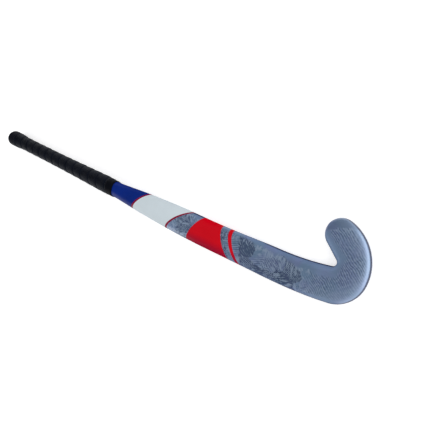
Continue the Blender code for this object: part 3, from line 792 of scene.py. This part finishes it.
def film_material(name, rgb, variation, painted_shade_colour=None):
    """Flat decoration colour under the same lacquer, with painted shade along the low side if a shade
    colour is given.
    """
    nodes = Finish(name)
    cloud = nodes.noise(14.0, detail=4.0, roughness=0.6)
    fleck = nodes.noise(900.0, detail=1.0)
    shade = nodes.mix(nodes.between(cloud, 0.35, 0.7), rgb, deeper(rgb, 1 - variation))
    if painted_shade_colour:
        # Painted shade, deepening the colour towards the low, heel side.
        painted_shade_mask = nodes.between(nodes.times(nodes.attribute("across"), -1.0), 0.10, 0.95)
        shade = nodes.mix(painted_shade_mask, shade, painted_shade_colour)
    nodes.set(Base_Color=shade, Roughness=nodes.ramp(fleck, 0.0, 1.0, 0.28, 0.38))
    nodes.lacquer_coat(0.06, 1.40, 0.18)
    return nodes.material


def leatherette_material(name, rgb):
    """Padded synthetic leather: fine grain, open pores and a soft sheen."""
    nodes = Finish(name)
    grain = nodes.cells(1400.0, "DISTANCE_TO_EDGE")
    pores = nodes.cells(520.0)
    cloud = nodes.noise(70.0, detail=5.0)
    nodes.set(Base_Color=nodes.mix(nodes.between(cloud, 0.35, 0.70), rgb, deeper(rgb, 1.5)),
              Specular_IOR_Level=0.15, Specular_Tint=(0.50, 0.72, 1.0, 1.0),
              Roughness=nodes.ramp(cloud, 0.0, 1.0, 0.44, 0.62))
    fine = nodes.bump(nodes.between(grain, 0.0, 0.12), 0.00008, 0.6)
    coarse = nodes.add("Bump", Height=nodes.between(pores, 0.05, 0.22), Distance=0.00012,
                       Strength=0.5, Normal=fine)
    nodes.set(Normal=coarse.outputs[0])
    return nodes.material


def rubber_material(name, rgb):
    nodes = Finish(name)
    nodes.set(Base_Color=nodes.mix(nodes.noise(60.0), rgb, deeper(rgb, 1.4)), Roughness=0.50,
              Specular_IOR_Level=0.05)
    nodes.bump(nodes.noise(1800.0, detail=2.0), 0.00006, 0.5)
    return nodes.material


def vinyl_material(name, rgb):
    nodes = Finish(name)
    stretch = nodes.noise(90.0, nodes.place(scale=(6.0, 1.0, 1.0)), detail=4.0)
    nodes.set(Base_Color=nodes.mix(stretch, rgb, deeper(rgb, 1.5)), Roughness=0.42,
              Specular_IOR_Level=0.03)
    nodes.bump(stretch, 0.00010, 0.5)
    return nodes.material


def foam_material(name, rgb, cell):
    nodes = Finish(name)
    walls = nodes.cells(1 / cell, "DISTANCE_TO_EDGE")
    # Painted shade: darker along the cell borders, where the bump sinks.
    nodes.set(Base_Color=nodes.mix(nodes.between(walls, 0.0, 0.25), deeper(rgb, 0.7), rgb),
              Roughness=0.9)
    nodes.bump(walls, cell / 3, 0.8)
    return nodes.material


def weave_material(name, rgb, thread, rough):
    """Two sets of threads that pass over and under each other, at 45 degrees to the stick."""
    nodes = Finish(name)
    parts = nodes.add("SeparateXYZ", Vector=nodes.place(math.radians(45))).outputs
    warp, weft = (nodes.math("SINE", nodes.times(parts[k], math.tau / thread)) for k in (0, 1))
    over = nodes.times(warp, weft)
    # Painted shade: the threads darken where they pass under, in the hollows of the bump.
    nodes.set(Base_Color=nodes.mix(nodes.between(over, -0.3, 0.3), deeper(rgb, 0.5), rgb),
              Roughness=rough)
    nodes.bump(over, thread / 12, 0.7)
    return nodes.material


def steel_material(name, rgb):
    nodes = Finish(name)
    rings = nodes.noise(160.0, nodes.place(scale=(30.0, 1.0, 1.0)), detail=4.0)
    nodes.set(Base_Color=nodes.mix(rings, rgb, deeper(rgb, 0.75)), Roughness=0.32, Metallic=1.0)
    nodes.bump(rings, 0.00004, 0.6)
    return nodes.material


class STICK_OT_shell(bpy.types.Operator):
    """Build the lacquered shell from butt to toe, sunk under the films"""
    bl_idname = "stick.shell"
    bl_label = "Lacquered shell"

    def execute(self, context):
        shell, films = context.scene.stick_shell, context.scene.stick_films
        shaft = Shaft(shell)
        hook = Hook(shaft)
        rings = [shaft.ring(x)
                 for x in spread(SHELL_START, BLUE_START - STEP_TO_BLUE, HANDLE_SPACING)]
        rings.append(shaft.ring(BLUE_START))
        edges = [edge for seat in film_seats(films) for edge in (seat[:2], seat[2:])]
        edges.append((shaft.hook_x, 0.0))
        for number, (above, below) in enumerate(zip(edges, edges[1:])):
            sunk = shell.film if number % 2 == 0 else 0.0
            rings += shaft.slanted_rings(*above, *below, sunk)
        rings += hook.rings()
        finish = SlateFinish(shell, hook.toe + frame_shift().xy)
        piece("lacquered_shell", sweep(rings), finish.material, ["outer_laminate"],
              "slate_lacquer")
        return {"FINISHED"}


class STICK_OT_films(bpy.types.Operator):
    """Lay the coloured films flush into the shell"""
    bl_idname = "stick.films"
    bl_label = "Decoration films"

    def execute(self, context):
        films, shell = context.scene.stick_films, context.scene.stick_shell
        shaft = Shaft(shell)
        blue_end, white_end = films.blue_end, films.white_end
        upper, lower = films.upper_slant, films.lower_slant
        white_start, slate_start = blue_end + films.pinstripe, white_end + films.pinstripe
        _, wedge, line = film_seats(films)
        blue = film_material("blue_lacquer_finish", films.blue, 0.25)
        white = film_material("white_lacquer_finish", films.white, 0.06)
        red = film_material("red_lacquer_finish", films.red, 0.10, films.painted_shade_red)
        crimson = film_material("pinstripe_finish", films.crimson, 0.10)
        for name, node, mat, slot, run in (
                ("blue_zone", "blue_film", blue, "blue_lacquer",
                 (BLUE_START, 0.0, blue_end, upper)),
                ("upper_red_pinstripe", "upper_pinstripe", crimson, "red_lacquer",
                 (blue_end, upper, white_start, upper)),
                ("white_zone", "white_film", white, "white_lacquer",
                 (white_start, upper, white_end, lower)),
                ("lower_red_pinstripe", "lower_pinstripe", crimson, "red_lacquer",
                 (white_end, lower, slate_start, lower)),
                ("red_wedge", "red_band", red, "red_lacquer", wedge),
                ("red_keyline", "red_line", red, "red_lacquer", line)):
            skin = list(shaft.slanted_rings(*run, 0.0))
            under = list(shaft.slanted_rings(*run, shell.film * FILM_BED))
            piece(name, sweep(skin + under[::-1], "joined"), mat, [node], slot)
        return {"FINISHED"}


class STICK_OT_overgrip(bpy.types.Operator):
    """Wind the padded band from the cap to the tape, each turn lapping the one before"""
    bl_idname = "stick.overgrip"
    bl_label = "Wound overgrip"

    def execute(self, context):
        grip = context.scene.stick_grip
        shaft = Shaft(context.scene.stick_shell)
        start, end = CAP_LENGTH - CAP_TUCK, GRIP_END - TAPE_WIDTH + TAPE_TUCK
        pitch = (end - start) / grip.turns
        rings = []
        for k in range(round((grip.turns + 1) * LAP_STEPS) + 1):
            lap = k / LAP_STEPS
            low, high = start + pitch * (lap - 1), start + pitch * lap
            low_cut, high_cut = max(low, start), min(high, end)
            if high_cut - low_cut < NARROWEST_END:
                continue
            turn = math.tau * lap
            ring = []
            for share, rise in BAND_OUTLINE:
                x = min(max(low + pitch * share, start), end)
                if high_cut - low_cut < pitch:
                    x = low_cut + (high_cut - low_cut) * min(max(share, 0.0), 1.0)
                out = seat_height(x) + grip.band * rise
                if rise > 0.5:
                    out += grip.crease * self.crease(x, turn)
                ring.append(around(shaft, x, turn, out))
            rings.append(ring)
        piece("wound_grip", sweep(rings), leatherette_material("wrap_finish", grip.wrap_colour),
              ["overgrip"], "wrap_leatherette", sharp=60)
        return {"FINISHED"}

    def crease(self, x, turn):
        """Uneven height of the band's outside, from about -1 to 1."""
        spot = Vector((x * 90, math.cos(turn) * 1.6, math.sin(turn) * 1.6))
        return noise.noise(spot) + 0.6 * noise.noise(spot * 3.1)


class STICK_OT_tape(bpy.types.Operator):
    """Wind the finishing tape over the lower end of the grip"""
    bl_idname = "stick.tape"
    bl_label = "Finishing tape"

    def execute(self, context):
        shaft = Shaft(context.scene.stick_shell)
        start, end = GRIP_END - TAPE_WIDTH, GRIP_END + TAPE_REACH
        profile = [(origin + along, out)
                   for origin, points in ((start, TAPE_HEAD), (end, TAPE_FOOT), (start, TAPE_INSIDE))
                   for along, out in points]
        turns = [math.tau * step / TURN_STEPS for step in range(TURN_STEPS)]
        rings = [[around(shaft, x + self.shift(x, turn), turn, out) for turn in turns]
                 for x, out in profile]
        piece("closing_tape", sweep(rings, "joined"),
              vinyl_material("tape_finish", context.scene.stick_grip.tape_colour),
              ["finishing_tape"], "tape_vinyl")
        return {"FINISHED"}

    def shift(self, x, turn):
        """How far the tape lies off square: drawn up on both sides, tilted and slightly rippled."""
        side = math.cos(turn)
        ripple = TAPE_RIPPLE * math.sin(5 * turn + 40 * x)
        return ripple - TAPE_DRAWN_UP * side * side - TAPE_TILT * side


class STICK_OT_cap(bpy.types.Operator):
    """Turn the rubber cap with its round knob"""
    bl_idname = "stick.cap"
    bl_label = "Butt cap"

    def execute(self, context):
        shaft = Shaft(context.scene.stick_shell)
        grip = context.scene.stick_grip
        bm = bmesh.new()
        verts = [bm.verts.new((along, 0.0, radius)) for along, radius in self.profile(grip.band)]
        edges = [bm.edges.new(pair) for pair in zip(verts, verts[1:])]
        bmesh.ops.spin(bm, geom=verts + edges, cent=(0, 0, 0), axis=(1, 0, 0), angle=math.tau,
                       steps=TURN_STEPS, use_merge=True)
        bmesh.ops.remove_doubles(bm, verts=bm.verts, dist=0.00001)
        bmesh.ops.recalc_face_normals(bm, faces=bm.faces)
        square = Matrix.Rotation(-math.atan(shaft.slope), 4, "Y")
        lift = Matrix.Translation((0.0, 0.0, shaft.axis(0.0)))
        bmesh.ops.transform(bm, matrix=lift @ square, verts=bm.verts)
        piece("knob_cap", bm, rubber_material("cap_finish", grip.cap_colour), ["butt_cap"],
              "cap_rubber")
        return {"FINISHED"}

    def profile(self, band):
        """Distance along the handle and radius, from the end face over the knob into the bore."""
        knob = KNOB_D / 2
        rim = HANDLE_D / 2 + seat_height(0.0) + band
        bore = HANDLE_D / 2 + CAP_GAP
        round_steps, neck_steps = 11, 16
        profile = [(0.0, radius) for radius in END_FACE_RADII]
        for k in range(round_steps + 1):
            turn = math.pi / 2 * k / round_steps
            profile.append((KNOB_ROUND * (1 - math.cos(turn)),
                            knob - KNOB_ROUND * (1 - math.sin(turn))))
        profile.append((KNOB_END, knob))
        for k in range(1, neck_steps + 1):
            t = k / neck_steps
            profile.append((KNOB_END + (CAP_LENGTH - CAP_EDGE - KNOB_END) * t,
                            knob + (rim - knob) * t * t * (3 - 2 * t)))
        profile += [(CAP_LENGTH - back, rim - inward) for back, inward in CAP_BEVEL]
        return profile + [(CAP_LENGTH, bore), (CAP_END_WALL, bore), (CAP_END_WALL, 0.0)]


class STICK_OT_inside(bpy.types.Operator):
    """Give the pieces inside the shell their own finishes"""
    bl_idname = "stick.inside"
    bl_label = "Hidden pieces"

    def execute(self, context):
        foam = foam_material("core_foam_finish", (0.62, 0.52, 0.30), 0.0012)
        soft = foam_material("underlay_finish", (0.030, 0.030, 0.034), 0.0007)
        carbon = weave_material("carbon_finish", (0.024, 0.024, 0.027), 0.0040, 0.38)
        cloth = weave_material("cloth_finish", (0.70, 0.50, 0.08), 0.0030, 0.60)
        steel = steel_material("steel_finish", (0.45, 0.45, 0.46))
        for mat, names in ((foam, ("head_foam_core", "core_bulkhead", "butt_plug")),
                           (soft, ("grip_underlay",)),
                           (carbon, ("toe_side_tube", "heel_side_tube", "centre_web")),
                           (cloth, ("face_reinforcing_ply", "heel_reinforcing_ply")),
                           (steel, ("balance_weight",))):
            for name in names:
                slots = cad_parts[name].data.materials
                slots.clear()
                slots.append(mat)
        return {"FINISHED"}


def soft_box(name, place, target, size, watts):
    """Area lamp turned towards a point."""
    lamp = bpy.data.lights.new(name, "AREA")
    lamp.shape = "RECTANGLE"
    lamp.size, lamp.size_y = size
    lamp.energy = watts
    obj = bpy.data.objects.new(name, lamp)
    bpy.context.scene.collection.objects.link(obj)
    obj.location = place
    obj.rotation_euler = (Vector(target) - Vector(place)).to_track_quat("-Z", "Y").to_euler()


def studio_world(world, strength):
    """Even light, plain white where seen, and in reflections a band that dims with height.

    The band stands higher on the side of the head, where the long lamp is.
    """
    world.use_nodes = True
    nodes = Nodes(world.node_tree)
    path = nodes.add("LightPath").outputs
    coords = nodes.add("TexCoord").outputs["Generated"]
    parts = nodes.add("SeparateXYZ", _0=coords).outputs
    band_top = nodes.ramp(parts["X"], -0.1, 0.4, 0.16, 1.3)
    level = nodes.ramp(parts["Z"], 0.02, band_top, 1.0, 0.04)
    mirrored = nodes.math("MAXIMUM", path["Is Glossy Ray"], path["Is Transmission Ray"])
    lit = nodes.blend(mirrored, strength, level)
    seen = nodes.blend(path["Is Camera Ray"], lit, 1.0)
    nodes.feed(nodes.tree.nodes["Background"], Color=(1.0, 1.0, 1.0, 1.0), Strength=seen)


def pale_floor_material():
    """Pale matt floor that the camera sees as white, and that still takes the shadow."""
    nodes = Finish("pale_floor")
    grain = nodes.noise(35.0)
    nodes.set(Base_Color=nodes.mix(grain, (0.80, 0.80, 0.81), (0.83, 0.83, 0.84)), Roughness=0.85,
              Specular_IOR_Level=0.1)
    path = nodes.add("LightPath").outputs
    mirrored = nodes.math("MAXIMUM", path["Is Glossy Ray"], path["Is Transmission Ray"])
    seen = nodes.math("MAXIMUM", path["Is Camera Ray"], nodes.times(mirrored, 0.2))
    glow = nodes.add("Emission", Strength=nodes.times(seen, 0.55))
    total = nodes.add("AddShader", _0=nodes.shader.outputs[0], _1=glow.outputs[0])
    nodes.feed(nodes.tree.nodes["Material Output"], Surface=total.outputs[0])
    return nodes.material


class STICK_OT_stage(bpy.types.Operator):
    """Lay the floor, hang the soft lights and set the camera"""
    bl_idname = "stick.stage"
    bl_label = "Stage"

    def execute(self, context):
        stage = context.scene.stick_stage
        bm = bmesh.new()
        bmesh.ops.create_grid(bm, x_segments=8, y_segments=8, size=stage.floor_size / 2)
        bmesh.ops.translate(bm, verts=bm.verts, vec=(0.0, 0.0, -FLOOR_DROP))
        floor = link_mesh("floor", bm, pale_floor_material())
        world = context.scene.world or bpy.data.worlds.new("studio")
        context.scene.world = world
        studio_world(world, stage.sky)
        soft_box("edge_light", place=(1.70, 0.55, 0.62), target=(0.45, 0.02, 0.05),
                 size=(2.6, 1.10), watts=11.6)
        soft_box("handle_light", place=(-0.80, -0.95, 0.40), target=(-0.10, -0.04, 0.02),
                 size=(0.9, 0.5), watts=2.0)
        lens = bpy.data.cameras.new("photo_camera")
        lens.sensor_width = 36.0
        lens.lens = stage.lens
        camera = bpy.data.objects.new("photo_camera", lens)
        context.scene.collection.objects.link(camera)
        camera.location = stage.camera_place
        camera.rotation_euler = stage.camera_turn
        context.scene.camera = camera
        context.scene.view_settings.view_transform = "Standard"
        return {"FINISHED"}


class STICK_PT_build(bpy.types.Panel):
    """Lists the settings and the steps of the stick"""
    bl_idname = "STICK_PT_build"
    bl_label = "Indoor hockey stick"
    bl_space_type = "VIEW_3D"
    bl_region_type = "UI"
    bl_category = "Hockey stick"

    def draw(self, context):
        for group in SETTINGS:
            box = self.layout.box()
            settings = getattr(context.scene, group)
            for key in settings.bl_rna.properties.keys():
                if key not in ("rna_type", "name"):
                    box.prop(settings, key)
        for operator in OPERATORS:
            self.layout.operator(operator.bl_idname)


SETTINGS = {"stick_shell": ShellSettings, "stick_films": FilmSettings, "stick_grip": GripSettings,
            "stick_stage": StageSettings}
OPERATORS = (STICK_OT_shell, STICK_OT_films, STICK_OT_overgrip, STICK_OT_tape, STICK_OT_cap,
             STICK_OT_inside, STICK_OT_stage)


def register():
    for cls in (*SETTINGS.values(), *OPERATORS, STICK_PT_build):
        bpy.utils.register_class(cls)
    for name, group in SETTINGS.items():
        setattr(bpy.types.Scene, name, PointerProperty(type=group))


def unregister():
    for name in SETTINGS:
        delattr(bpy.types.Scene, name)
    for cls in reversed((*SETTINGS.values(), *OPERATORS, STICK_PT_build)):
        bpy.utils.unregister_class(cls)


def main():
    register()
    for step in ("shell", "films", "overgrip", "tape", "cap", "inside", "stage"):
        getattr(bpy.ops.stick, step)()


if __name__ == "__main__":
    main()
